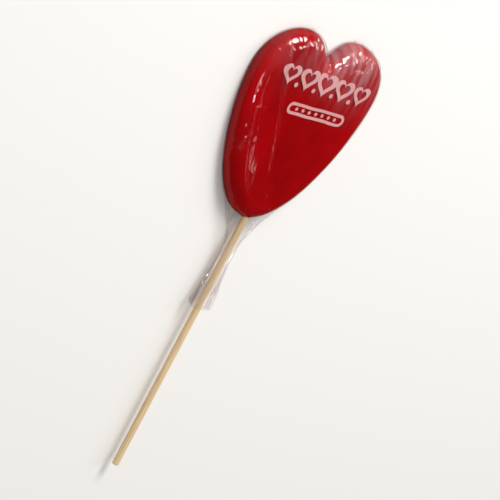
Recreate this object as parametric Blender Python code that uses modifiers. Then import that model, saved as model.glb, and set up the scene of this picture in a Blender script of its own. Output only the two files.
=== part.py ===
"""A large heart lollipop in a clear sealed film, lying on its flat back.

The candy and the film around it are one solid, with the film gathered below the tip and running on along the
stick as a pleated sleeve. The wooden stick is a solid of its own, in a bore that ends inside the candy.
Metres, +Z up, the shown face up, the lobes at +Y, the origin under the middle of the whole.
"""
import bmesh
import bpy
from math import cos, pi, radians, sin

MM = 0.001

# Heart, measured over the film
HEART_WIDTH = 87.0 * MM
HEART_LENGTH = 102.0 * MM
HEART_THICKNESS = 12.0 * MM
NOTCH_DEPTH = 13.5 * MM
WIDEST_AT = 0.75  # share of the length, from the tip
LOBE_AT = 0.41  # share of the half width
SHOULDER = 9.5 * MM  # how far the rounded top edge reaches in
SHOULDER_RISE = 8.0 * MM
CROWN_RISE = 0.8 * MM  # the shown face is a little higher in the middle
BACK_EDGE = 1.6 * MM  # rounding round the flat back

# Film below the tip: a neck that leaves the candy's sides, then a sleeve that flares at its open end
SLEEVE_LENGTH = 52.0 * MM
NECK_START = -9.0 * MM  # inside the heart
NECK_END = 15.0 * MM
NECK_HALF_WIDTH = 14.8 * MM
NECK_HALF_HEIGHT = 4.7 * MM
SLEEVE_HALF_WIDTH = 4.0 * MM
SLEEVE_HALF_HEIGHT = 3.7 * MM
FLARE_START = 28.0 * MM
FLARE_WIDTH = 2.8 * MM
FLARE_HEIGHT = 1.2 * MM
MOUTH_DEPTH = 9.0 * MM
MOUTH_RADIUS = 4.2 * MM
PLEATS = 7
PLEAT_DEPTH = 0.12  # share of the sleeve's radius
PLEAT_TWIST = radians(70)  # over the whole sleeve

# Stick
STICK_DIAMETER = 3.6 * MM
STICK_FREE = 145.0 * MM  # from the heart's tip to the free end
STICK_IN_CANDY = 42.0 * MM
STICK_END_BEVEL = 0.5 * MM
STICK_HEIGHT = 5.6 * MM  # of its axis over the flat back

GAP = 0.3 * MM  # between the stick and the bore
CUTTER_PAST = 1.0 * MM  # how far the bore and the mouth are cut past the sleeve's end
POINTS_A_PIECE = 12  # of each of the outline's six curves
SHOULDER_RINGS = 6
SLEEVE_SIDES = 42
SLEEVE_RINGS = 26
STICK_SIDES = 32

TIP_Y = (STICK_FREE - HEART_LENGTH) / 2  # puts the origin under the middle of the whole


def new_collection(name, hidden=False):
    made = bpy.data.collections.new(name)
    bpy.context.scene.collection.children.link(made)
    made.hide_render = hidden
    return made


def new_material(name, color, roughness):
    made = bpy.data.materials.new(name)
    made.use_nodes = True
    shader = made.node_tree.nodes["Principled BSDF"]
    shader.inputs["Base Color"].default_value = (*color, 1.0)
    shader.inputs["Roughness"].default_value = roughness
    shader.inputs["Metallic"].default_value = 0.0
    return made


def new_object(name, mesh, collection, material=None):
    made = bpy.data.objects.new(name, mesh)
    collection.objects.link(made)
    if material:
        mesh.materials.append(material)
    return made


def bezier(start, out_handle, in_handle, end, count):
    """Points on one cubic curve, with its end left to the next one."""
    points = []
    for step in range(count):
        t = step / count
        s = 1 - t
        weights = (s**3, 3 * s * s * t, 3 * s * t * t, t**3)
        corners = (start, out_handle, in_handle, end)
        x = sum(w * p[0] for w, p in zip(weights, corners))
        y = sum(w * p[1] for w, p in zip(weights, corners))
        points.append((x, y))
    return points


def heart_outline(inset):
    """The heart's outline moved in by inset, tip at y 0, anticlockwise from the tip.

    Each side has three curves: tip to the widest point, on to the top of the lobe, and down into the notch.
    """
    half = HEART_WIDTH / 2 - inset
    shrink = half / (HEART_WIDTH / 2)
    tip = (0.0, inset)
    side = (half, WIDEST_AT * HEART_LENGTH - 0.3 * inset)
    lobe = (LOBE_AT * HEART_WIDTH / 2 + 0.05 * inset, HEART_LENGTH - inset)
    notch = (0.0, HEART_LENGTH - NOTCH_DEPTH - inset)
    tip_out = (0.53 * half, tip[1])
    side_in = (half, side[1] - 0.29 * HEART_LENGTH * shrink)
    side_out = (half, side[1] + 0.185 * HEART_LENGTH * shrink)
    lobe_in = (lobe[0] + 0.215 * half, lobe[1])
    lobe_out = (lobe[0] - 0.25 * half, lobe[1])
    notch_in = (0.15 * half, notch[1] + 0.40 * NOTCH_DEPTH * shrink)
    right = bezier(tip, tip_out, side_in, side, POINTS_A_PIECE)
    right += bezier(side, side_out, lobe_in, lobe, POINTS_A_PIECE)
    right += bezier(lobe, lobe_out, notch_in, notch, POINTS_A_PIECE)
    left = [(-x, y) for x, y in reversed(right[1:])]
    return right + [notch] + left


def heart_rings():
    """Inset and height of each ring, from the flat back up to the crowned face."""
    rings = [(BACK_EDGE, 0.0), (0.3 * BACK_EDGE, 0.3 * BACK_EDGE), (0.0, BACK_EDGE)]
    shoulder_top = HEART_THICKNESS - CROWN_RISE
    shoulder_foot = shoulder_top - SHOULDER_RISE
    for step in range(SHOULDER_RINGS + 1):
        angle = step / SHOULDER_RINGS * pi / 2
        inset = SHOULDER * (1 - cos(angle))
        rings.append((inset, shoulder_foot + SHOULDER_RISE * sin(angle)))
    rings.append((1.5 * SHOULDER, HEART_THICKNESS - 0.3 * CROWN_RISE))
    rings.append((2.0 * SHOULDER, HEART_THICKNESS))
    return rings


def loft(rings):
    """A closed mesh through rings of equal point counts, capped at both ends."""
    mesh = bpy.data.meshes.new("loft")
    form = bmesh.new()
    rows = [[form.verts.new(point) for point in ring] for ring in rings]
    for low, high in zip(rows, rows[1:]):
        for i in range(len(low)):
            j = (i + 1) % len(low)
            form.faces.new((low[i], low[j], high[j], high[i]))
    form.faces.new(reversed(rows[0]))
    form.faces.new(rows[-1])
    bmesh.ops.recalc_face_normals(form, faces=form.faces)
    form.to_mesh(mesh)
    form.free()
    return mesh


def heart_mesh():
    rings = []
    for inset, height in heart_rings():
        rings.append([(x, TIP_Y + y, height) for x, y in heart_outline(inset)])
    return loft(rings)


def ease(low, high, share):
    """From low to high with a level start and end."""
    share = min(max(share, 0.0), 1.0)
    return low + (high - low) * (1 - cos(pi * share)) / 2


def sleeve_section(along):
    """Half width and half height of the gathered film, along metres below the heart's tip."""
    neck = min((along - NECK_START) / (NECK_END - NECK_START), 1.0)
    flare = (along - FLARE_START) / (SLEEVE_LENGTH - FLARE_START)
    half_width = SLEEVE_HALF_WIDTH + (NECK_HALF_WIDTH - SLEEVE_HALF_WIDTH) * (1 - neck) ** 1.35
    half_height = ease(NECK_HALF_HEIGHT, SLEEVE_HALF_HEIGHT, neck)
    return half_width + ease(0.0, FLARE_WIDTH, flare), half_height + ease(0.0, FLARE_HEIGHT, flare)


def sleeve_mesh():
    """The neck and the pleated sleeve, from inside the heart down along the stick."""
    rings = []
    for step in range(SLEEVE_RINGS + 1):
        along = NECK_START + (SLEEVE_LENGTH - NECK_START) * step / SLEEVE_RINGS
        half_width, half_height = sleeve_section(along)
        depth = PLEAT_DEPTH * ease(0.0, 1.0, along / NECK_END)
        turn = PLEAT_TWIST * along / SLEEVE_LENGTH
        ring = []
        for side in range(SLEEVE_SIDES):
            angle = 2 * pi * side / SLEEVE_SIDES
            swell = 1 - depth * (1 + cos(PLEATS * angle + turn)) / 2
            x = half_width * swell * cos(angle)
            z = STICK_HEIGHT + half_height * swell * sin(angle)
            ring.append((x, TIP_Y - along, z))
        rings.append(ring)
    return loft(rings)


def rod_mesh(low_radius, high_radius, low_y, high_y):
    """A cylinder or cone along Y between two places, at the stick's height."""
    mesh = bpy.data.meshes.new("rod")
    form = bmesh.new()
    bmesh.ops.create_cone(
        form,
        cap_ends=True,
        segments=STICK_SIDES,
        radius1=low_radius,
        radius2=high_radius,
        depth=high_y - low_y,
    )
    for vert in form.verts:
        x, y, z = vert.co
        vert.co = (x, (low_y + high_y) / 2 + z, STICK_HEIGHT - y)
    form.to_mesh(mesh)
    form.free()
    return mesh


def add_boolean(target, operation, other):
    cut = target.modifiers.new(operation.title(), "BOOLEAN")
    cut.operation = operation
    cut.object = other
    cut.solver = "EXACT"


def make_wrapped_heart(parts, guides):
    candy = new_material("hard_candy_in_clear_film", (0.29, 0.002, 0.006), 0.12)
    head = new_object("wrapped_heart", heart_mesh(), parts, candy)
    sleeve = new_object("sleeve_form", sleeve_mesh(), guides)
    bore_radius = STICK_DIAMETER / 2 + GAP
    sleeve_end = TIP_Y - SLEEVE_LENGTH
    bore = new_object(
        "stick_bore",
        rod_mesh(bore_radius, bore_radius, sleeve_end - CUTTER_PAST, TIP_Y + STICK_IN_CANDY + GAP),
        guides,
    )
    mouth = new_object(
        "mouth_form",
        rod_mesh(MOUTH_RADIUS, bore_radius / 2, sleeve_end - CUTTER_PAST, sleeve_end + MOUTH_DEPTH),
        guides,
    )
    for guide in (sleeve, bore, mouth):
        guide.hide_render = True
        guide.display_type = "WIRE"
    add_boolean(head, "UNION", sleeve)
    add_boolean(head, "DIFFERENCE", bore)
    add_boolean(head, "DIFFERENCE", mouth)
    head.data.shade_smooth()
    head.data.set_sharp_from_angle(angle=radians(40))
    return head


def make_stick(parts):
    birch = new_material("birch_stick", (0.62, 0.40, 0.19), 0.55)
    radius = STICK_DIAMETER / 2
    mesh = rod_mesh(radius, radius, TIP_Y - STICK_FREE, TIP_Y + STICK_IN_CANDY)
    stick = new_object("stick", mesh, parts, birch)
    ends = stick.modifiers.new("Ends", "BEVEL")
    ends.width = STICK_END_BEVEL
    ends.segments = 2
    ends.limit_method = "ANGLE"
    ends.angle_limit = radians(60)
    stick.data.shade_smooth()
    stick.data.set_sharp_from_angle(angle=radians(40))
    return stick


def main():
    for old in list(bpy.data.objects):
        bpy.data.objects.remove(old, do_unlink=True)
    parts = new_collection("heart_lollipop")
    guides = new_collection("heart_lollipop_guides", hidden=True)
    make_wrapped_heart(parts, guides)
    make_stick(parts)


main()
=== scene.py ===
import math

import bmesh
import bpy
import numpy as np
from mathutils import Matrix, Vector


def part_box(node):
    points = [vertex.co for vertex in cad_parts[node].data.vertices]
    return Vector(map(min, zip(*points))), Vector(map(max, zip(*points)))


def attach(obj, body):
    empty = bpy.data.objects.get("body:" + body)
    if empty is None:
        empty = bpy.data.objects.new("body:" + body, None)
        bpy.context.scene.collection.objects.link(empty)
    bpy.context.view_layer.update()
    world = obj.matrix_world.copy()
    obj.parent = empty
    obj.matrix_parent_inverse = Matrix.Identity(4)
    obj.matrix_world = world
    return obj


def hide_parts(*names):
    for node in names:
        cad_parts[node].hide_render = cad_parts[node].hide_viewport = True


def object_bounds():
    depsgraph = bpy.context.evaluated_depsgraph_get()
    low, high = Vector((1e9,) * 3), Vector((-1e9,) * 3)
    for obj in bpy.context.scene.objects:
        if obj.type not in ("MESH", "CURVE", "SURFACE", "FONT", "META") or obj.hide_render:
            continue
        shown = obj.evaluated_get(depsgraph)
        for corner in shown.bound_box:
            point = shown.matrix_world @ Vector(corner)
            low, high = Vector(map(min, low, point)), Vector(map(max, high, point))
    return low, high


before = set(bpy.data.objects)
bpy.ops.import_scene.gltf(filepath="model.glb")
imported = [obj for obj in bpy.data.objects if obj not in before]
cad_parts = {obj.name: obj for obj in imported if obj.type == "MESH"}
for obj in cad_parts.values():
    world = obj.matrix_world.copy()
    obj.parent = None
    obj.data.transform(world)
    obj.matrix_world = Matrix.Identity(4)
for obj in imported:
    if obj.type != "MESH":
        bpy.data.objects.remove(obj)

mm = 0.001
cadLow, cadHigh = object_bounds()
headLow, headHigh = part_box("wrapped_heart")
stickLow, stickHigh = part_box("stick")
stickZ = (stickLow.z + stickHigh.z) / 2
print("frame loaded, nodes:", ", ".join(sorted(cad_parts)))

# the heart's form, measured over the film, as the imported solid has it
heart = {
    "width": 2 * headHigh.x,
    "length": 102 * mm,
    "thickness": headHigh.z,
    "notch": 13.5 * mm,
    "widestAt": 0.75,      # share of the length, from the tip
    "lobeAt": 0.41,        # share of the half width
    "sideDrop": 0.3,       # share of an inset that the widest point moves down by
    "lobeShift": 0.05,     # and that the top of the lobe moves out by
    "tipPull": 0.53,       # reach of the curves' handles, as shares of the half width
    "lobeIn": 0.215,
    "lobeOut": 0.25,
    "notchPull": 0.15,
    "sideIn": 0.29,        # as shares of the length
    "sideOut": 0.185,
    "notchRise": 0.4,      # as a share of the notch's depth
    "shoulder": 9.5 * mm,  # reach of the rounded top edge
    "shoulderRise": 8 * mm,
    "crown": 0.8 * mm,     # how much higher the middle of the face stands
    "crownPower": 1.8,     # that it falls by towards the shoulder
    "backEdge": 1.6 * mm,
}
tipY = headHigh.y - heart["length"]

# how ribs are laid out between the centre line and the edge
ribs = {
    "lowest": 0.3 * mm,    # where the first one ends on the centre line, above the tip
    "notchRoom": 3 * mm,   # left between the last one's end and the rounding in the notch
    "spread": 0.8,         # power: below 1 the ends lie closer together towards the notch
    "reach": 0.8,          # share of its end's height that a rib near the tip reaches in
    "leaning": 0.16,       # share of the ribs that lean back from a level cut
}


# meshes

def cubic(a, b, c, d, t):
    # a cubic curve: the four corners weighed by the powers of t and 1 - t
    s = 1 - t
    return s**3 * a + 3 * s * s * t * b + 3 * s * t * t * c + t**3 * d


def heartSide(u, inset, shape):
    # right side of the outline moved in by inset: u is 0 at the tip, 1 at the widest point,
    # 2 on top of the lobe and 3 in the notch, one cubic curve each
    half = shape["width"] / 2 - inset
    shrink = half / (shape["width"] / 2)
    sideY = shape["widestAt"] * shape["length"] - shape["sideDrop"] * inset
    lobeX = shape["lobeAt"] * shape["width"] / 2 + shape["lobeShift"] * inset
    lobeY = shape["length"] - inset
    notchY = lobeY - shape["notch"]
    sideIn = sideY - shape["sideIn"] * shape["length"] * shrink
    sideOut = sideY + shape["sideOut"] * shape["length"] * shrink
    notchIn = notchY + shape["notchRise"] * shape["notch"] * shrink
    zero = 0 * half
    t = u - np.clip(np.floor(u), 0, 2)
    x = np.select(
        [u < 1, u < 2],
        [
            cubic(zero, shape["tipPull"] * half, half, half, t),
            cubic(half, half, lobeX + shape["lobeIn"] * half, lobeX, t),
        ],
        cubic(lobeX, lobeX - shape["lobeOut"] * half, shape["notchPull"] * half, zero, t),
    )
    y = np.select(
        [u < 1, u < 2],
        [cubic(inset, inset, sideIn, sideY, t), cubic(sideY, sideOut, lobeY, lobeY, t)],
        cubic(lobeY, lobeY, notchIn, notchY, t),
    )
    return x, y + tipY


def evenSteps(curve, fine, count, closed=False):
    # parameters at equal steps along a curve, by summing the lengths of its short chords
    x, y = curve(fine)
    run = np.concatenate([[0], np.cumsum(np.hypot(np.diff(x), np.diff(y)))])
    return np.interp(np.linspace(0, run[-1], count, endpoint=not closed), run, fine)


def evenSide(count, start, shape):
    # outline parameters at equal steps along the right edge, up to the notch
    return evenSteps(lambda u: heartSide(u, 0.0, shape), np.linspace(start, 3, 3000), count)


def topHeight(inset, shape):
    # height of the shown face at an inset: a quarter ellipse over the shoulder, then a slow crown
    reach, rise = shape["shoulder"], shape["shoulderRise"]
    edge = np.clip(1 - inset / reach, 0, 1)
    crown = np.clip(2 - inset / reach, 0, 1)
    foot = shape["thickness"] - shape["crown"] - rise
    rounded = foot + rise * np.sqrt(1 - edge**2)
    face = shape["thickness"] - shape["crown"] * crown ** shape["crownPower"]
    return np.where(inset < reach, rounded, face)


def backHeight(inset, shape):
    # height of the back at an inset: a quarter circle round its edge, then flat
    edge = np.clip(1 - inset / shape["backEdge"], 0, 1)
    return shape["backEdge"] * (1 - np.sqrt(1 - edge**2))


def acrossHeart(shape, counts):
    # columns of a rib, from the middle of the top over the edge to the middle of the back: inset
    # as a share of the deepest, pull towards the centre line, and whether it is on the top
    reach = shape["shoulder"]
    middle = np.linspace(1, 0, counts["middle"])
    ring = np.linspace(1, 0.5, counts["ring"])[1:]
    angle = np.linspace(math.pi / 2, 0, counts["shoulder"])[1:]
    turn = np.linspace(0, math.pi / 2, counts["edge"])
    under = np.linspace(shape["backEdge"] / (2 * reach), 1, counts["under"])[1:]
    backMiddle = np.linspace(0, 1, counts["backMiddle"])[1:]
    shoulder = 0.5 * (1 - np.cos(angle))
    edge = shape["backEdge"] / (2 * reach) * (1 - np.cos(turn))
    inset = np.concatenate([middle * 0 + 1, ring, shoulder, edge, under, backMiddle * 0 + 1])
    pull = np.concatenate([middle, ring * 0, angle * 0, edge * 0, under * 0, backMiddle])
    top = np.arange(len(inset)) < len(middle) + len(ring) + len(angle)
    return inset, pull, top


def heartRibs(u, shape, counts, skin=0.0, level=0.0):
    # for each outline parameter a rib from the centre line over the edge to the back, moved in by
    # skin. Near the tip the ribs reach in less. Where level is given, the first one is a straight
    # cut across the heart at that height above the tip, and the next ones lean back from it
    share, pull, top = acrossHeart(shape, counts)
    deepest = 2 * shape["shoulder"]
    row = np.linspace(0, 1, len(u))[:, None]
    high = shape["length"] - shape["notch"] - deepest - ribs["notchRoom"]
    low = max(level, ribs["lowest"])
    centreY = low + (high - low) * row ** ribs["spread"]
    reach = np.minimum(ribs["reach"] * centreY, deepest)
    inset = reach * share[None, :]
    param = u[:, None] + 0 * inset
    if level:
        fine = np.linspace(0, 1, 500)
        cut = heartSide(fine[:, None], inset[:1], shape)[1] - tipY - level
        started = fine[np.argmin(np.abs(cut), axis=0)][None, :]
        param = param + (started - u[0]) * np.clip(1 - row / ribs["leaning"], 0, 1) ** 2
    x, y = heartSide(param, inset + skin, shape)
    x = x * (1 - pull)
    y = y * (1 - pull) + (tipY + centreY) * pull
    deep = inset * (1 - pull) + np.minimum(centreY, deepest) * pull
    z = np.where(top[None, :], topHeight(deep, shape), backHeight(deep, shape))
    z = skin + z * (shape["thickness"] - 2 * skin) / shape["thickness"]
    return np.stack([x, y, z], -1)


def wave(x, y, seed, size, count=7):
    # smooth noise between about -1 and 1: a few plane waves with seeded directions and phases
    draw = np.random.default_rng(seed)
    turns, phases = draw.uniform(0, math.pi, count), draw.uniform(0, 7, count)
    paces = draw.uniform(0.6, 1.7, count)
    total = 0 * x
    for turn, phase, pace in zip(turns, phases, paces):
        run = x * math.cos(turn) + y * math.sin(turn)
        total = total + np.sin(run * pace * 2 * math.pi / size + phase)
    return total / math.sqrt(count)


def ramp(value, start, over):
    # 0 up to start, then evenly up to 1
    return np.clip((value - start) / over, 0, 1)


def ridges(angle):
    # sharp crests where a sine passes nought, with round valleys between them
    return 1 - np.abs(np.sin(angle))


def gridMesh(name, points, material, wrap=False, values=None):
    # quads between neighbours of a grid of points (rows, columns), the columns closed round when
    # wrap is set
    rows, columns = points.shape[:2]
    r = np.arange(rows - 1)[:, None]
    c = np.arange(columns if wrap else columns - 1)[None, :]
    n = (c + 1) % columns
    corners = [r * columns + c, r * columns + n, (r + 1) * columns + n, (r + 1) * columns + c]
    quads = np.stack(corners, -1).reshape(-1, 4)
    return meshObject(name, points.reshape(-1, 3), quads, material, values)


def meshObject(name, points, quads, material, values=None):
    # a smooth object of points and quads, with values kept on its points for its material
    mesh = bpy.data.meshes.new(name)
    mesh.from_pydata(points.tolist(), [], quads.tolist())
    for key, value in (values or {}).items():
        layer = mesh.attributes.new(key, "FLOAT", "POINT")
        layer.data.foreach_set("value", np.asarray(value, np.float32).reshape(-1))
    made = bpy.data.objects.new(name, mesh)
    bpy.context.scene.collection.objects.link(made)
    mesh.materials.append(material)
    weld(mesh)
    mesh.shade_smooth()
    return made


def weld(mesh, within=0.004 * mm):
    # doubles are merged, so that seams and poles close, and all faces are turned outward
    form = bmesh.new()
    form.from_mesh(mesh)
    bmesh.ops.remove_doubles(form, verts=form.verts, dist=within)
    bmesh.ops.dissolve_degenerate(form, edges=form.edges, dist=within / 2)
    bmesh.ops.recalc_face_normals(form, faces=form.faces)
    form.to_mesh(mesh)
    form.free()


def outward(points):
    # unit normals of a grid closed round, by the cross product of its two directions
    rows = np.gradient(points, axis=0)
    padded = np.concatenate([points[:, -1:], points, points[:, :1]], 1)
    columns = np.gradient(padded, axis=1)[:, 1:-1]
    normal = np.cross(columns, rows)
    length = np.linalg.norm(normal, axis=-1, keepdims=True)
    return normal / np.maximum(length, 1e-12)


# materials

def toLinear(code, alpha=1.0):
    # sRGB hex to linear colour
    parts = [int(code[i:i + 2], 16) / 255 for i in (1, 3, 5)]
    return [p / 12.92 if p <= 0.04045 else ((p + 0.055) / 1.055) ** 2.4 for p in parts] + [alpha]


def newMaterial(name):
    # an empty node material and its tree
    made = bpy.data.materials.new(name)
    made.use_nodes = True
    made.node_tree.nodes.clear()
    return made, made.node_tree


def addNode(tree, kind, inputs=None, stops=(), **settings):
    # one node with its settings; an input that is another node's socket is linked, any other is
    # a value, and stops are the places and colours of a ramp
    made = tree.nodes.new(kind)
    for key, value in settings.items():
        setattr(made, key, value)
    for key, value in (inputs or {}).items():
        if isinstance(value, bpy.types.NodeSocket):
            tree.links.new(value, made.inputs[key])
        else:
            made.inputs[key].default_value = value
    for i, (place, code) in enumerate(stops):
        stop = made.color_ramp.elements[i] if i < 2 else made.color_ramp.elements.new(place)
        stop.position = place
        stop.color = toLinear(code)
    return made


sugar = {
    "deep": "#900002",
    "bright": "#A80106",
    "paintedLight": "#C4040E",           # painted light: a lighter red where the upper shoulder is lit and glows through
    "patchSize": 22,             # mm between slightly lighter and darker pours
    "unevenSize": 9,             # mm between the slow waves of the poured face
    "unevenHeight": 0.4 * mm,
    "bubbles": "#CE1A20",
    "bubbleSpacing": 2.6,        # mm between the tiny air bubbles that the boil leaves
    "bubbleSize": (0.07, 0.14),  # where one starts to fade and is gone, as shares of the spacing
    "bubbleShow": 0.75,
    "roughness": 0.10,
}


def boiledSugar():
    # boiled sugar, poured and set: a hard clear red glass that light enters a few millimetres
    made, tree = newMaterial("boiledSugarRed")
    place = addNode(tree, "ShaderNodeTexCoord").outputs["Object"]
    patches = addNode(tree, "ShaderNodeTexNoise", {
        "Vector": place, "Scale": 1000 / sugar["patchSize"], "Detail": 2.0,
    })
    stops = [(0.35, sugar["deep"]), (0.7, sugar["bright"])]
    poured = addNode(tree, "ShaderNodeValToRGB", {"Fac": patches.outputs["Fac"]}, stops)
    # painted light: the attribute mixes in a lighter red for the lit shoulder and the glow through
    # it
    paintedLight = addNode(tree, "ShaderNodeAttribute", attribute_name="paintedLight")
    lit = addNode(tree, "ShaderNodeMix", {
        0: paintedLight.outputs["Fac"], 6: poured.outputs["Color"], 7: toLinear(sugar["paintedLight"]),
    }, data_type="RGBA")
    cells = addNode(tree, "ShaderNodeTexVoronoi", {
        "Vector": place, "Scale": 1000 / sugar["bubbleSpacing"],
    })
    bubble = addNode(tree, "ShaderNodeMapRange", {
        "Value": cells.outputs["Distance"],
        "From Min": sugar["bubbleSize"][0],
        "From Max": sugar["bubbleSize"][1],
        "To Min": sugar["bubbleShow"],
        "To Max": 0.0,
    })
    colour = addNode(tree, "ShaderNodeMix", {
        0: bubble.outputs["Result"], 6: lit.outputs[2], 7: toLinear(sugar["bubbles"]),
    }, data_type="RGBA")
    uneven = addNode(tree, "ShaderNodeTexNoise", {
        "Vector": place, "Scale": 1000 / sugar["unevenSize"], "Detail": 1.0,
    })
    bump = addNode(tree, "ShaderNodeBump", {
        "Height": uneven.outputs["Fac"], "Strength": 0.25, "Distance": sugar["unevenHeight"],
    })
    body = addNode(tree, "ShaderNodeBsdfPrincipled", {
        "Base Color": colour.outputs[2],
        "Roughness": sugar["roughness"],
        "IOR": 1.5,
        "Specular IOR Level": 0.25,
        "Subsurface Weight": 0.3,
        "Subsurface Radius": (1.0, 0.10, 0.08),
        "Subsurface Scale": 3.5 * mm,
        "Normal": bump.outputs["Normal"],
    })
    addNode(tree, "ShaderNodeOutputMaterial", {"Surface": body.outputs["BSDF"]})
    return made


filmLook = {
    "mirror": 0.07,        # share mirrored head on by a thin film's two faces
    "edgeMirror": 0.50,    # share mirrored where it is seen edge on
    "steepness": 5.0,      # power: how late the mirror sets in as the film turns away
    "roughness": 0.06,
    "clear": (0.985, 0.982, 0.98, 1),
    "hazeAndSheen": "#F2D0D7",
    "wavinessSize": 5,     # mm between the small slow waves of a pulled film
    "wavinessHeight": 0.25 * mm,
}


def clearFilm():
    # cast polypropylene film: clear, thin and glossy, milky where it is creased and in spots,
    # partly real haze and partly painted sheen of the crinkled film
    made, tree = newMaterial("castPolypropyleneFilm")
    place = addNode(tree, "ShaderNodeTexCoord").outputs["Object"]
    small = addNode(tree, "ShaderNodeTexNoise", {
        "Vector": place, "Scale": 1000 / filmLook["wavinessSize"], "Detail": 3.0,
    })
    bump = addNode(tree, "ShaderNodeBump", {
        "Height": small.outputs["Fac"], "Strength": 0.3, "Distance": filmLook["wavinessHeight"],
    })
    facing = addNode(tree, "ShaderNodeLayerWeight", {
        "Blend": 0.5, "Normal": bump.outputs["Normal"],
    })
    steep = addNode(tree, "ShaderNodeMath", {
        0: facing.outputs["Facing"], 1: filmLook["steepness"],
    }, operation="POWER")
    mirror = addNode(tree, "ShaderNodeMapRange", {
        "Value": steep.outputs[0],
        "To Min": filmLook["mirror"],
        "To Max": filmLook["edgeMirror"],
    })
    # the attribute mixes in a pale pink layer: milky film, and painted sheen where the crinkled
    # film would mirror the room
    hazeAndSheen = addNode(tree, "ShaderNodeAttribute", attribute_name="hazeAndSheen")
    clear = addNode(tree, "ShaderNodeBsdfTransparent", {"Color": filmLook["clear"]})
    milkySheen = addNode(tree, "ShaderNodeBsdfPrincipled", {
        "Base Color": toLinear(filmLook["hazeAndSheen"]), "Roughness": 0.4,
    })
    gloss = addNode(tree, "ShaderNodeBsdfGlossy", {
        "Color": (1, 1, 1, 1),
        "Roughness": filmLook["roughness"],
        "Normal": bump.outputs["Normal"],
    })
    sheet = addNode(tree, "ShaderNodeMixShader", {
        0: hazeAndSheen.outputs["Fac"], 1: clear.outputs[0], 2: milkySheen.outputs[0],
    })
    whole = addNode(tree, "ShaderNodeMixShader", {
        0: mirror.outputs[0], 1: sheet.outputs[0], 2: gloss.outputs[0],
    })
    addNode(tree, "ShaderNodeOutputMaterial", {"Surface": whole.outputs[0]})
    return made


inkLook = {
    "colour": "#EEAFB1",
    "cover": 0.84,         # share of the red that the ink hides
    "coverChange": 0.07,
    "grainSize": 1.6,      # mm between denser and thinner spots
}


def filmInk():
    # pale flexographic ink on the inside of the film: thin, so the red shows through it a little
    made, tree = newMaterial("paleFilmInk")
    place = addNode(tree, "ShaderNodeTexCoord").outputs["Object"]
    grain = addNode(tree, "ShaderNodeTexNoise", {
        "Vector": place, "Scale": 1000 / inkLook["grainSize"], "Detail": 2.0,
    })
    cover = addNode(tree, "ShaderNodeMapRange", {
        "Value": grain.outputs["Fac"],
        "From Min": 0.3,
        "From Max": 0.7,
        "To Min": inkLook["cover"] - inkLook["coverChange"],
        "To Max": inkLook["cover"] + inkLook["coverChange"],
    })
    clear = addNode(tree, "ShaderNodeBsdfTransparent")
    ink = addNode(tree, "ShaderNodeBsdfPrincipled", {
        "Base Color": toLinear(inkLook["colour"]), "Roughness": 0.45,
    })
    mixed = addNode(tree, "ShaderNodeMixShader", {
        0: cover.outputs["Result"], 1: clear.outputs[0], 2: ink.outputs[0],
    })
    addNode(tree, "ShaderNodeOutputMaterial", {"Surface": mixed.outputs[0]})
    return made


birch = {
    "light": "#EED8B2",
    "mid": "#E2C597",
    "dark": "#CDA877",
    "fibre": 0.35,         # mm across one fibre bundle
    "fibreLength": 14,     # mm
    "fibreDepth": 0.12 * mm,
    "roughness": 0.55,
}


def birchWood():
    # birch dowel, turned and unvarnished: fine straight fibres along the stick, a dull satin face
    made, tree = newMaterial("birchDowelBare")
    place = addNode(tree, "ShaderNodeTexCoord").outputs["Object"]
    across, along = 1000 / birch["fibre"], 1000 / birch["fibreLength"]
    stretched = addNode(tree, "ShaderNodeMapping", {
        "Vector": place, "Scale": (across, along, across),
    })
    fibre = addNode(tree, "ShaderNodeTexNoise", {
        "Vector": stretched.outputs[0], "Scale": 1.0, "Detail": 4.0, "Roughness": 0.6,
    })
    stops = [(0.3, birch["dark"]), (0.72, birch["light"]), (0.5, birch["mid"])]
    colour = addNode(tree, "ShaderNodeValToRGB", {"Fac": fibre.outputs["Fac"]}, stops)
    bump = addNode(tree, "ShaderNodeBump", {
        "Height": fibre.outputs["Fac"], "Strength": 0.5, "Distance": birch["fibreDepth"],
    })
    body = addNode(tree, "ShaderNodeBsdfPrincipled", {
        "Base Color": colour.outputs["Color"],
        "Roughness": birch["roughness"],
        "Normal": bump.outputs["Normal"],
    })
    addNode(tree, "ShaderNodeOutputMaterial", {"Surface": body.outputs[0]})
    return made


def paleFloor():
    # matt pale paper sweep; gloss sees it dimmed, so the film keeps its clear look over the candy
    made, tree = newMaterial("paperSweep")
    rays = addNode(tree, "ShaderNodeLightPath")
    paper = addNode(tree, "ShaderNodeBsdfPrincipled", {
        "Base Color": toLinear(studio["floor"]), "Roughness": 0.9,
    })
    dim = addNode(tree, "ShaderNodeBsdfDiffuse", {"Color": toLinear(studio["floorMirrored"])})
    mixed = addNode(tree, "ShaderNodeMixShader", {
        0: rays.outputs["Is Glossy Ray"], 1: paper.outputs[0], 2: dim.outputs[0],
    })
    addNode(tree, "ShaderNodeOutputMaterial", {"Surface": mixed.outputs[0]})
    return made


# the candy

candy = {
    "skin": 0.36 * mm,               # how far the candy lies inside the film's outer form
    "unevenness": 0.18 * mm,
    "unevenSize": 34 * mm,
    "unevenFrom": (2 * mm, 6 * mm),  # height where the waves start, and over which they grow
    "collar": 1.7 * mm,              # how far the candy is drawn out along the stick
    "collarWidth": 2.3 * mm,
    "collarFade": 3 * mm,
    "paintedLightAt": 8.0 * mm,              # height on the shoulder where the painted light is strongest
    "paintedLightReach": 2.3 * mm,
    "paintedLightShares": (0.06, 0.25, 0.70),  # painted light everywhere, along the edge, and added near one lit place
    "paintedLightAlong": (0.65, 0.20),       # that lit place and its spread, as shares of the length
    "around": 300,                   # points on each side
    "counts": {
        "middle": 14, "ring": 12, "shoulder": 20, "edge": 5, "under": 10, "backMiddle": 8,
    },
}


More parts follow.
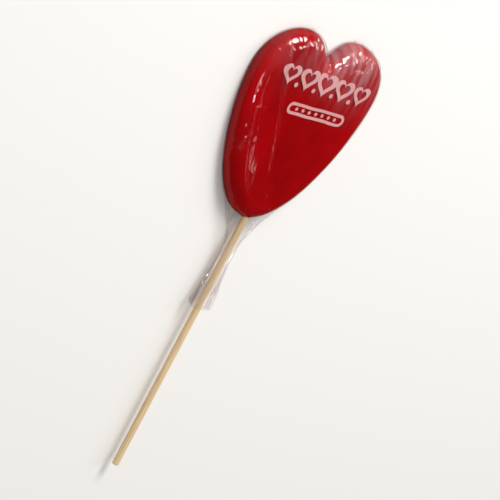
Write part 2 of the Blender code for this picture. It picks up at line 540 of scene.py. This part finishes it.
def makeCandy():
    # ribs of the heart's form on both sides, with slow waves of the poured face added to their
    # height. Near the stick they are drawn out, by a bell curve of the distance from it
    u = evenSide(candy["around"], 0.0, heart)
    right = heartRibs(u, heart, candy["counts"], candy["skin"])
    left = right[::-1] * [-1, 1, 1]
    points = np.concatenate([right, left[1:-1]], 0)
    x, y, z = points[..., 0], points[..., 1], points[..., 2]
    lift = ramp(z, *candy["unevenFrom"])
    points[..., 2] = z + lift * candy["unevenness"] * wave(x, y, 4, candy["unevenSize"])
    aside = np.hypot(x, z - stickZ) / candy["collarWidth"]
    drawn = candy["collar"] * np.exp(-aside**2) * np.exp(-(y - tipY) / candy["collarFade"])
    points[..., 1] = y - drawn
    # painted light: a lighter red band along the upper shoulder, stronger near one place up the
    # length, for where light falls on and glows through the candy
    place, spread = candy["paintedLightAlong"]
    along = np.exp(-(((y - tipY) / heart["length"] - place) / spread) ** 2)
    least, edge, added = candy["paintedLightShares"]
    near = np.exp(-((z - candy["paintedLightAt"]) / candy["paintedLightReach"]) ** 2)
    values = {"paintedLight": (least + (edge + added * along) * near).T}
    made = gridMesh("candyHeart", np.swapaxes(points, 0, 1), boiledSugar(), True, values)
    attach(made, "root")
    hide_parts("wrapped_heart")
    print("candy heart poured")


# the film

film = {
    "notch": 11.2 * mm,          # the film bridges the notch a little
    "skin": -0.05 * mm,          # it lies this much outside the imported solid's form
    "lowest": 0.03 * mm,         # above the floor
    "alongHeart": 330,           # points from the neck to the notch
    "counts": {
        "middle": 30, "ring": 13, "shoulder": 16, "edge": 5, "under": 13, "backMiddle": 10,
    },
    "neckAt": 9 * mm,            # above the tip, where the film leaves the candy's sides
    "neckEnd": 15 * mm,          # below the tip
    "neckRows": 44,
    "neckDraw": 1.35,            # power: how softly the neck runs out into the sleeve
    "neckBelly": 1.3 * mm,       # how far it hangs, to pass under the candy's edge
    "sleeveRows": 70,
    "sleeveEnd": headLow.y,
    "halfWidth": 4.0 * mm,
    "halfHeight": 3.7 * mm,
    "swell": 1.08,               # of the crests over those two
    "flareStart": 24 * mm,
    "flareWidth": 2.9 * mm,
    "flareHeight": 1.6 * mm,
    "ragged": (0.6 * mm, 0.5 * mm),  # how uneven the cut end is, with its folds and by itself
    "pleats": 7,                 # pairs of folds round the stick
    "finePleats": 11,
    "pleatDepth": 0.36,          # share of the sleeve's radius
    "pleatTwist": (1.1, 40 * mm),  # radians, and the length that they take
    "foldsStart": 6 * mm,        # length over which the heart's folds grow from the neck's end
    "neckFold": 0.75 * mm,       # height of the folds that fan out over the tip
    "neckFoldGrow": 7 * mm,
    "fanFade": 13 * mm,          # how far they run up the face
    "pulledTo": -30 * mm,        # from the tip, the point that the pulled folds point to
    "pulledSize": 7 * mm,
    "pulledStretch": (60 * mm, 0.16),  # of their noise: across for each radian, and along
    "pulledHeight": (0.04 * mm, 0.45 * mm),  # where the film is tight, and added where it is loose
    "gatherMiddle": (0.45, 0.72),  # of a lobe, as shares of the half width and of the length
    "gatherFrom": 0.74,          # share of the length where the gathers start
    "gatherGrow": (12 * mm, 24 * mm),  # how they grow up the lobe and out from its middle
    "gatherPace": 10.4,          # for each radian round a lobe; pi of it is one gather
    "gatherHeight": 0.22 * mm,
    # where the film lies loose on the candy, and where it is milky with painted sheen of the
    # crinkled film: place as shares of the half width and of the length, size in mm, strength
    "looseSpots": [(0.5, 0.93, 24, 1.0), (-0.12, 0.93, 16, 0.75), (-0.6, 0.98, 14, 0.5)],
    "milkySheenSpots": [
        (0.34, 0.93, 16, 1.0),
        (0.75, 0.85, 16, 0.3),
        (-0.10, 0.93, 13, 0.75),
        (-0.72, 0.88, 15, 0.18),
    ],
    "milkySheen": (0.0005, 0.22, 0.75),  # shares: everywhere, added in those spots, and at most
    "streaky": 0.75,             # share of what is added there that comes in streaks
    "streakSize": 15 * mm,
    "streakStretch": (2.2, 0.6),
    "milkySheenCrests": (0.05, 0.13),  # milky film and painted sheen, added along the crests, and once more in those spots
    "crestHeight": 0.9 * mm,
    "milkySleeve": 0.06,
    # two ends as shares of the half width and of the length, height and width in mm
    "creases": [
        (-0.80, 0.97, -0.64, 0.78, 0.85, 0.8),
        (-0.67, 0.82, -0.48, 0.60, 0.75, 0.7),
        (-0.50, 0.64, -0.30, 0.44, 0.55, 0.7),
        (-0.34, 0.48, -0.12, 0.24, 0.40, 0.9),
        (-0.62, 1.00, -0.40, 0.84, 0.50, 0.7),
        (-0.46, 0.99, -0.28, 0.83, 0.45, 0.7),
        (-0.32, 0.97, -0.12, 0.84, 0.50, 0.8),
        (-0.12, 0.90, 0.20, 0.83, 0.35, 0.8),
        (0.04, 0.88, 0.40, 0.93, 0.60, 0.8),
        (0.12, 0.86, 0.66, 0.90, 0.50, 0.9),
        (0.24, 0.98, 0.30, 0.84, 0.50, 0.7),
        (0.44, 0.99, 0.40, 0.86, 0.55, 0.8),
        (0.62, 0.96, 0.54, 0.82, 0.50, 0.7),
        (0.80, 0.90, 0.70, 0.74, 0.40, 0.8),
        (0.92, 0.80, 0.78, 0.56, 0.35, 0.9),
        (-0.96, 0.74, -0.74, 0.58, 0.45, 0.9),
        (-0.90, 0.62, -0.66, 0.42, 0.35, 0.9),
        (-0.84, 0.50, -0.66, 0.30, 0.30, 1.0),
        (-0.86, 0.42, -0.60, 0.30, 0.80, 0.5),
        (-0.70, 0.46, -0.76, 0.28, 0.70, 0.5),
        (-0.58, 0.40, -0.74, 0.34, 0.65, 0.4),
        (-0.88, 0.36, -0.66, 0.24, 0.60, 0.5),
        (-0.82, 0.47, -0.64, 0.43, 0.55, 0.4),
        (0.60, 0.46, 0.22, 0.12, 0.22, 1.2),
    ],
}


def lineRidge(x, y, crease):
    # a sharp crest along a line that wavers by a slow sine: height falls off with the distance
    # from it, and to nothing at its ends
    half, length = heart["width"] / 2, heart["length"]
    ax, ay, bx, by, height, width = crease
    ax, bx, ay, by = ax * half, bx * half, tipY + ay * length, tipY + by * length
    wobble = 0.35 * mm * np.sin(x / (2.1 * mm) + y / (3.3 * mm) + 9 * ax / half)
    run = ((x - ax) * (bx - ax) + (y - ay) * (by - ay)) / ((bx - ax) ** 2 + (by - ay) ** 2)
    t = np.clip(run, 0, 1)
    away = np.abs(np.hypot(x - ax - t * (bx - ax), y - ay - t * (by - ay)) + wobble)
    taper = np.sqrt(np.clip(np.sin(math.pi * t), 0, 1))
    return height * mm * taper * np.exp(-away / (width * mm))


def softSpots(x, y, spots):
    # soft round masks added up to 1 at most, each a bell curve of the distance from its place
    half, length = heart["width"] / 2, heart["length"]
    total = 0 * x
    for atX, atY, size, strength in spots:
        away = np.hypot(x - atX * half, y - tipY - atY * length) / (size * mm)
        total = total + strength * np.exp(-away**2)
    return np.clip(total, 0, 1)


def foldsRound(angle, run):
    # folds of the gathered film: crests where either of two sines, bent a little, passes nought
    twist, over = film["pleatTwist"]
    bends = 0.8 * np.sin(2 * angle + 1), 0.5 * np.sin(3 * angle + run / (9 * mm))
    bent = film["pleats"] * angle + bends[0] + bends[1] + twist * run / over
    fine = film["finePleats"] * angle + 0.9 * np.sin(angle + 2) - run / (14 * mm)
    return 0.68 * ridges(bent) ** 1.2 + 0.32 * ridges(fine)


def pulledFolds(x, y):
    # straight folds that point to the neck: crests of a noise over the direction from there
    loose = softSpots(x, y, film["looseSpots"])
    pointing = np.arctan2(x, y - tipY - film["pulledTo"])
    run = np.hypot(x, y - tipY - film["pulledTo"])
    across, along = film["pulledStretch"]
    noise = wave(pointing * across, run * along, 11, film["pulledSize"])
    tight, added = film["pulledHeight"]
    return (tight + added * loose) * (1 - np.abs(noise)).clip(0, 1) ** 3


def gatheredFolds(x, y):
    # small gathers round the lobes: crests over the angle round a lobe's middle, growing upwards
    # and outwards
    half, length = heart["width"] / 2, heart["length"]
    right = x - np.sign(x) * film["gatherMiddle"][0] * half
    up = y - tipY - film["gatherMiddle"][1] * length
    about = np.arctan2(up, right)
    upwards, outwards = film["gatherGrow"]
    folds = ridges(film["gatherPace"] * about + 1.3 * np.sin(3 * about) + 2) ** 2
    high = ramp(y - tipY, film["gatherFrom"] * length, upwards)
    out = np.clip(np.hypot(right, up) / outwards, 0, 1.2) ** 3
    return film["gatherHeight"] * folds * high * out


def filmRelief(x, y, angle):
    # height of the film's folds over the face: listed creases, pulled folds, gathers round the
    # lobes, and the fan of folds that starts at the neck and fades up the face
    total = 0 * x
    for crease in film["creases"]:
        total = total + lineRidge(x, y, crease)
    total = total + pulledFolds(x, y)
    total = total + gatheredFolds(x, y)
    fade = ramp(y - tipY, -film["neckEnd"], film["neckFoldGrow"])
    fade = fade * np.exp(-np.clip(y - tipY, 0, 1) / film["fanFade"])
    return total + film["neckFold"] * fade * foldsRound(angle, tipY - y)


def filmHazeAndSheen(x, y, relief):
    # milky film and painted sheen: in spots, partly as streaks of a stretched noise, and along its
    # crests
    spots = softSpots(x, y, film["milkySheenSpots"])
    across, along = film["streakStretch"]
    streak = np.clip(0.5 + 0.6 * wave(x * across, y * along, 31, film["streakSize"]), 0, 1)
    crest = np.clip(relief / film["crestHeight"], 0, 1) ** 3
    least, inSpots, most = film["milkySheen"]
    plain, added = film["milkySheenCrests"]
    hazeAndSheen = inSpots * spots * (1 - film["streaky"] + film["streaky"] * streak)
    return np.clip(least + hazeAndSheen + (plain + added * spots) * crest, 0, most)


def sleeveRing(angle, along):
    # an ellipse round the stick, drawn in between its folds, with a flare at the open end
    start = film["flareStart"]
    flare = ramp(along, start, tipY - film["sleeveEnd"] - start)
    flare = (1 - np.cos(math.pi * flare)) / 2
    folds = foldsRound(angle, along)
    swell = film["swell"] - film["pleatDepth"] * (0.8 + 0.5 * flare) * (1 - folds)
    x = (film["halfWidth"] + film["flareWidth"] * flare) * swell * np.sin(angle)
    z = stickZ + (film["halfHeight"] + film["flareHeight"] * flare) * swell * np.cos(angle)
    withFolds, byItself = film["ragged"]
    y = tipY - along + flare * (withFolds * folds + byItself * np.sin(2 * angle + 1))
    return np.stack([x, y, z], -1)


def makeFilm():
    # one grid from the sleeve's mouth to the notch: rings round the stick, straight pulled lines
    # over the neck, then ribs of the heart's form, all moved out along their normals by the folds
    shape = dict(heart, notch=film["notch"])
    fine = np.linspace(0, 1, 400)
    start = np.interp(tipY + film["neckAt"], heartSide(fine, 0.0, shape)[1], fine)
    u = evenSide(film["alongHeart"], start, shape)
    right = heartRibs(u, shape, film["counts"], film["skin"], film["neckAt"])
    points = np.concatenate([right, right[:, -2:0:-1] * [-1, 1, 1]], 1)
    top = acrossHeart(shape, film["counts"])[2].sum()
    sides = right.shape[1]
    over, beneath = np.linspace(0, 0.5, top), np.linspace(0.5, 1, sides - top + 1)[1:]
    angle = np.concatenate([over, beneath]) * math.pi
    angle = np.concatenate([angle, 2 * math.pi - angle[-2:0:-1]])[None, :]
    reach = tipY - film["sleeveEnd"]
    along = np.linspace(reach, film["neckEnd"], film["sleeveRows"])[:, None]
    sleeve = sleeveRing(angle, along)
    share = np.linspace(0, 1, film["neckRows"] + 2)[1:-1, None, None]
    drawn = share ** np.array([film["neckDraw"], 1, film["neckDraw"]])
    neck = sleeve[-1:] * (1 - drawn) + points[:1] * drawn
    hanging = np.sqrt(np.clip(-np.cos(angle), 0, 1)) * np.sin(math.pi * share[..., 0])
    neck[..., 2] -= hanging * film["neckBelly"]
    whole = np.concatenate([sleeve, neck, points], 0)
    normal = outward(whole)
    x, y = whole[..., 0], whole[..., 1]
    onHeart = ramp(y - tipY, -film["neckEnd"], film["foldsStart"])
    # the back is pressed flat by the heart's weight
    under = np.clip(normal[..., 2] * 3 + 1.2, 0.06, 1)
    relief = filmRelief(x, y, angle) * onHeart * under
    whole = whole + normal * relief[..., None]
    whole[..., 2] = np.maximum(whole[..., 2], film["lowest"])
    # both sides meet in the notch
    mirrored = np.roll(whole[-1, ::-1], 1, axis=0) * [-1, 1, 1]
    whole[-1] = (whole[-1] + mirrored) / 2 * [0, 1, 1]
    # milky film with painted sheen on the heart, plain milkiness on the sleeve
    hazeAndSheen = filmHazeAndSheen(x, y, relief) * onHeart + film["milkySleeve"] * (1 - onHeart)
    made = gridMesh("filmBag", whole, clearFilm(), True, {"hazeAndSheen": hazeAndSheen})
    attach(made, "root")
    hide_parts("wrapped_heart")
    print("film drawn over the candy,", len(made.data.polygons), "faces")
    return whole


# the print

ink = {
    "hearts": 5,
    "firstX": -25.5 * mm,
    "lastX": 26.5 * mm,
    "lineY": 80 * mm,            # from the tip
    "slope": -0.03,
    "sizes": (6.0, 6.6, 7.0, 6.6, 6.0),
    "heartPoints": 120,
    "stroke": 0.43,              # share of the small heart's size
    "innerUp": 0.02,             # share of it that the inner outline stands higher
    "bar": (-17 * mm, 24 * mm, 63.5 * mm, 3.3 * mm),  # left, right, from the tip, half height
    "barStroke": 1.6 * mm,
    "barStep": 0.35 * mm,        # between the points of its outline
    "dots": 7,
    "barDot": 0.95 * mm,
    "betweenDot": 1.25 * mm,
    "dotDrop": 5.2 * mm,         # of the dots between the hearts, below the hearts' middles
    "waver": 0.10 * mm,
    "waverSizes": (17 * mm, 15 * mm),
    "layer": 0.03 * mm,
    "under": 0.06 * mm,          # below the film's outer face
    "nearness": 0.6 * mm,        # how near a point of the film counts
    "filmFrom": 40 * mm,         # from the tip, the part of the film that is looked at
    "sharpFrom": 40,             # degrees
}


def ringStrip(x, y, innerX, innerY):
    # a flat band from an inner to an outer closed outline, four points across
    share = np.linspace(1, 0, 4)[:, None]
    return np.stack([x * (1 - share) + innerX * share, y * (1 - share) + innerY * share], -1)


def heartCurve(t):
    # the well-known heart curve: the cube of a sine across, four cosines up
    up = 13 * np.cos(t) - 5 * np.cos(2 * t) - 2 * np.cos(3 * t) - np.cos(4 * t)
    return np.sin(t) ** 3, up / 16


def smallHeart(cx, cy, size):
    # a band along the heart curve, its points at equal steps along the edge
    fine = np.linspace(0, 2 * math.pi, 2001)
    x, y = heartCurve(evenSteps(heartCurve, fine, ink["heartPoints"], closed=True))
    inner = 1 - ink["stroke"]
    innerX, innerY = size * x * inner, size * (y * inner + ink["innerUp"])
    return ringStrip(cx + size * x, cy + size * y, cx + innerX, cy + innerY)


def pill(left, right, cy, half, stroke):
    # a bar with round ends, at even steps along its edge: straight runs and half circles by turns
    straight, bend = right - left - 2 * half, math.pi * half
    count = max(24, int((straight + bend) / ink["barStep"]))
    run = np.linspace(0, 2 * (straight + bend), count, endpoint=False)
    turned = np.clip(run - straight, 0, bend) + np.clip(run - 2 * straight - bend, 0, bend)
    moved = np.clip(run, 0, straight) - np.clip(run - straight - bend, 0, straight)
    t = turned / half
    middle = left + half + moved
    outer = middle + half * np.sin(t), cy + half * np.cos(t)
    inner = middle + (half - stroke) * np.sin(t), cy + (half - stroke) * np.cos(t)
    return ringStrip(*outer, *inner)


def printBands():
    # flat bands: a row of outlined hearts and an outlined bar, then the dots in the bar and those
    # between the hearts. The number of outlined ones is given too
    across = np.linspace(ink["firstX"], ink["lastX"], ink["hearts"])
    bands = []
    for cx, size in zip(across, ink["sizes"]):
        bands.append(smallHeart(cx, tipY + ink["lineY"] + ink["slope"] * cx, size * mm))
    left, right, barY, half = ink["bar"]
    bands.append(pill(left, right, tipY + barY, half, ink["barStroke"]))
    outlined = len(bands)
    inBar = np.linspace(left + 2 * half, right - 2 * half, ink["dots"])
    between = (across[1:] + across[:-1]) / 2
    dots = [(cx, barY, ink["barDot"]) for cx in inBar]
    for cx in between:
        dots.append((cx, ink["lineY"] + ink["slope"] * cx - ink["dotDrop"], ink["betweenDot"]))
    for cx, cy, radius in dots:
        bands.append(pill(cx - radius, cx + radius, tipY + cy, radius, radius))
    return bands, outlined


def makePrint(filmPoints):
    # bands laid under the film: each point takes the film's height nearby, weighed by nearness,
    # and the ink's lower face follows its upper one. The outlines waver a little, as print does
    # on film that is pulled over a form
    bands, outlined = printBands()
    facingUp = outward(filmPoints)[..., 2] > 0.25
    top = filmPoints[facingUp & (filmPoints[..., 1] > tipY + ink["filmFrom"])]
    sizeX, sizeY = ink["waverSizes"]
    allPoints, allQuads, start = [], [], 0
    for number, band in enumerate(bands):
        rows, columns = band.shape[:2]
        flat = band.reshape(-1, 2)
        waver = np.column_stack([wave(*flat.T, 41, sizeX), wave(*flat.T, 43, sizeY)])
        flat = flat + ink["waver"] * waver
        away = ((flat[:, None, :] - top[None, :, :2]) ** 2).sum(-1)
        weight = np.exp(-away / ink["nearness"] ** 2) + 1e-30
        height = (weight * top[None, :, 2]).sum(1) / weight.sum(1) - ink["under"]
        upper = np.column_stack([flat, height])
        lower = (upper - [0, 0, ink["layer"]]).reshape(rows, columns, 3)[::-1].reshape(-1, 3)
        walls = 2 * rows - (number >= outlined)  # a dot has no inner wall
        r, c = np.arange(walls)[:, None], np.arange(columns)[None, :]
        n, s = (c + 1) % columns, (r + 1) % (2 * rows)
        quads = np.stack([r * columns + c, s * columns + c, s * columns + n, r * columns + n], -1)
        allQuads.append(quads.reshape(-1, 4) + start)
        allPoints.append(np.concatenate([upper, lower]))
        start += 2 * len(flat)
    made = meshObject("filmPrint", np.concatenate(allPoints), np.concatenate(allQuads), filmInk())
    made.data.set_sharp_from_angle(angle=math.radians(ink["sharpFrom"]))
    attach(made, "root")
    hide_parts("wrapped_heart")
    print("print laid under the film")


# the stick

dowel = {
    "radius": (stickHigh.x - stickLow.x) / 2,
    "rounding": 0.5 * mm,
    "wear": 0.05 * mm,
    "around": 56,
    "along": 260,
}


def makeStick():
    # a round profile carried along Y: the radius shrinks by a quarter circle at both ends and has
    # slow waves along the fibres
    low, high = stickLow.y, stickHigh.y
    r, edge = dowel["radius"], dowel["rounding"]
    turn = np.linspace(0, math.pi / 2, 7)
    ends = edge * (1 - np.cos(turn))
    rim = r - edge + edge * np.sin(turn)
    length = np.linspace(low + edge, high - edge, dowel["along"])[1:-1]
    y = np.concatenate([[low], low + ends, length, high - ends[::-1], [high]])[:, None]
    radius = np.concatenate([[0], rim, length * 0 + r, rim[::-1], [0]])[:, None]
    angle = np.linspace(0, 2 * math.pi, dowel["around"], endpoint=False)[None, :]
    grooves = np.clip(np.sin(5 * angle + y / (40 * mm)) * np.sin(11 * angle - 1), 0, 1)
    dents = 0.4 * np.sin(y / (9 * mm) + 3 * angle) ** 2
    radius = radius - dowel["wear"] * (grooves + dents) * (radius > r * 0.8)
    points = [radius * np.cos(angle), y + 0 * angle, stickZ + radius * np.sin(angle)]
    made = gridMesh("stickDowel", np.stack(points, -1), birchWood(), True)
    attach(made, "root")
    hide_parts("stick")
    print("stick turned")


# floor, light, camera

view = {
    "azimuth": -108,
    "elevation": 41.3,
    "roll": 130,
    "distance": 2.2,
    "frame": 250 * mm,           # what the picture's side covers at the heart
    "aim": (12 * mm, 2.5 * mm),  # right and up from the middle of the part
}


def cameraAxes():
    # right, up and towards the camera: turned round Z, raised, then rolled
    az, el, roll = (math.radians(view[key]) for key in ("azimuth", "elevation", "roll"))
    towards = np.array([math.cos(el) * math.sin(az), -math.cos(el) * math.cos(az), math.sin(el)])
    level = np.array([math.cos(az), math.sin(az), 0])
    up = np.cross(towards, level)
    right = math.cos(roll) * level + math.sin(roll) * up
    return right, -math.sin(roll) * level + math.cos(roll) * up, towards


def makeCamera():
    # its lens is as long as the sensor's width times the distance over the picture's side
    right, up, towards = cameraAxes()
    middle = (np.array(cadLow) + np.array(cadHigh)) / 2
    place = middle + right * view["aim"][0] + up * view["aim"][1] + towards * view["distance"]
    lens = bpy.data.cameras.new("camera")
    lens.sensor_width = 36
    lens.lens = 36 * view["distance"] / view["frame"]
    lens.clip_end = 50
    made = bpy.data.objects.new("camera", lens)
    bpy.context.scene.collection.objects.link(made)
    turned = Matrix(np.column_stack([right, up, towards]).tolist()).to_4x4()
    turned.translation = place.tolist()
    made.matrix_world = turned
    bpy.context.scene.camera = made
    print("camera set")


studio = {
    "room": "#F6F5F4",
    "soft": 0.40,                # strength of the pale room as fill light
    "mirrored": 0.018,           # as gloss sees it
    "seen": 0.95,                # as the camera sees it
    "floor": "#F1F0EE",
    "floorMirrored": "#6E6462",  # the floor as gloss sees it
    "floorSide": 6.0,            # metres
}
lights = {
    # direction as right, up and towards the camera; distance and sides in metres; watts; colour
    "key": ((0.70, 0.44, 0.56), 1.7, (0.60, 0.60), 24.0, "#FFFCF8"),
    "glint": ((0.69, -0.68, 0.25), 1.5, (0.05, 0.6), 0.13, "#FFFFFF"),
    "side": ((0.17, -0.55, 0.82), 1.5, (0.22, 0.22), 2.4, "#FFFFFF"),
    "rim": ((0.9, 0.0, 0.1), 1.5, (0.2, 1.2), 5.6, "#FFFFFF"),
}


def makeLights():
    # soft rectangles that face the part, placed by the camera's axes, and a pale room round it
    right, up, towards = cameraAxes()
    for name, (direction, distance, sides, watts, colour) in lights.items():
        lamp = bpy.data.lights.new(name, "AREA")
        lamp.shape = "RECTANGLE"
        lamp.size, lamp.size_y = sides
        lamp.energy = watts
        lamp.color = toLinear(colour)[:3]
        made = bpy.data.objects.new(name, lamp)
        bpy.context.scene.collection.objects.link(made)
        way = right * direction[0] + up * direction[1] + towards * direction[2]
        way = Vector((way / np.linalg.norm(way)).tolist())
        made.location = way * distance
        made.rotation_euler = way.to_track_quat("Z", "Y").to_euler()
    world = bpy.data.worlds.new("studio")
    bpy.context.scene.world = world
    world.use_nodes = True
    tree = world.node_tree
    tree.nodes.clear()
    rays = addNode(tree, "ShaderNodeLightPath")
    soft = addNode(tree, "ShaderNodeMapRange", {
        "Value": rays.outputs["Is Glossy Ray"],
        "To Min": studio["soft"],
        "To Max": studio["mirrored"],
    })
    strength = addNode(tree, "ShaderNodeMapRange", {
        "Value": rays.outputs["Is Camera Ray"],
        "To Min": soft.outputs[0],
        "To Max": studio["seen"],
    })
    sky = addNode(tree, "ShaderNodeBackground", {
        "Color": toLinear(studio["room"]), "Strength": strength.outputs[0],
    })
    addNode(tree, "ShaderNodeOutputWorld", {"Surface": sky.outputs[0]})
    print("studio lights set")


def makeFloor():
    # a flat square grid at height 0
    grid = np.linspace(-studio["floorSide"] / 2, studio["floorSide"] / 2, 13)
    x, y = np.meshgrid(grid, grid)
    made = gridMesh("floor", np.stack([x, y, 0 * x], -1), paleFloor())
    if made.data.polygons[0].normal.z < 0:
        made.data.flip_normals()


bpy.context.scene.view_settings.view_transform = "Standard"
makeCamera()
makeLights()
makeFloor()
makeCandy()
makePrint(makeFilm())
makeStick()
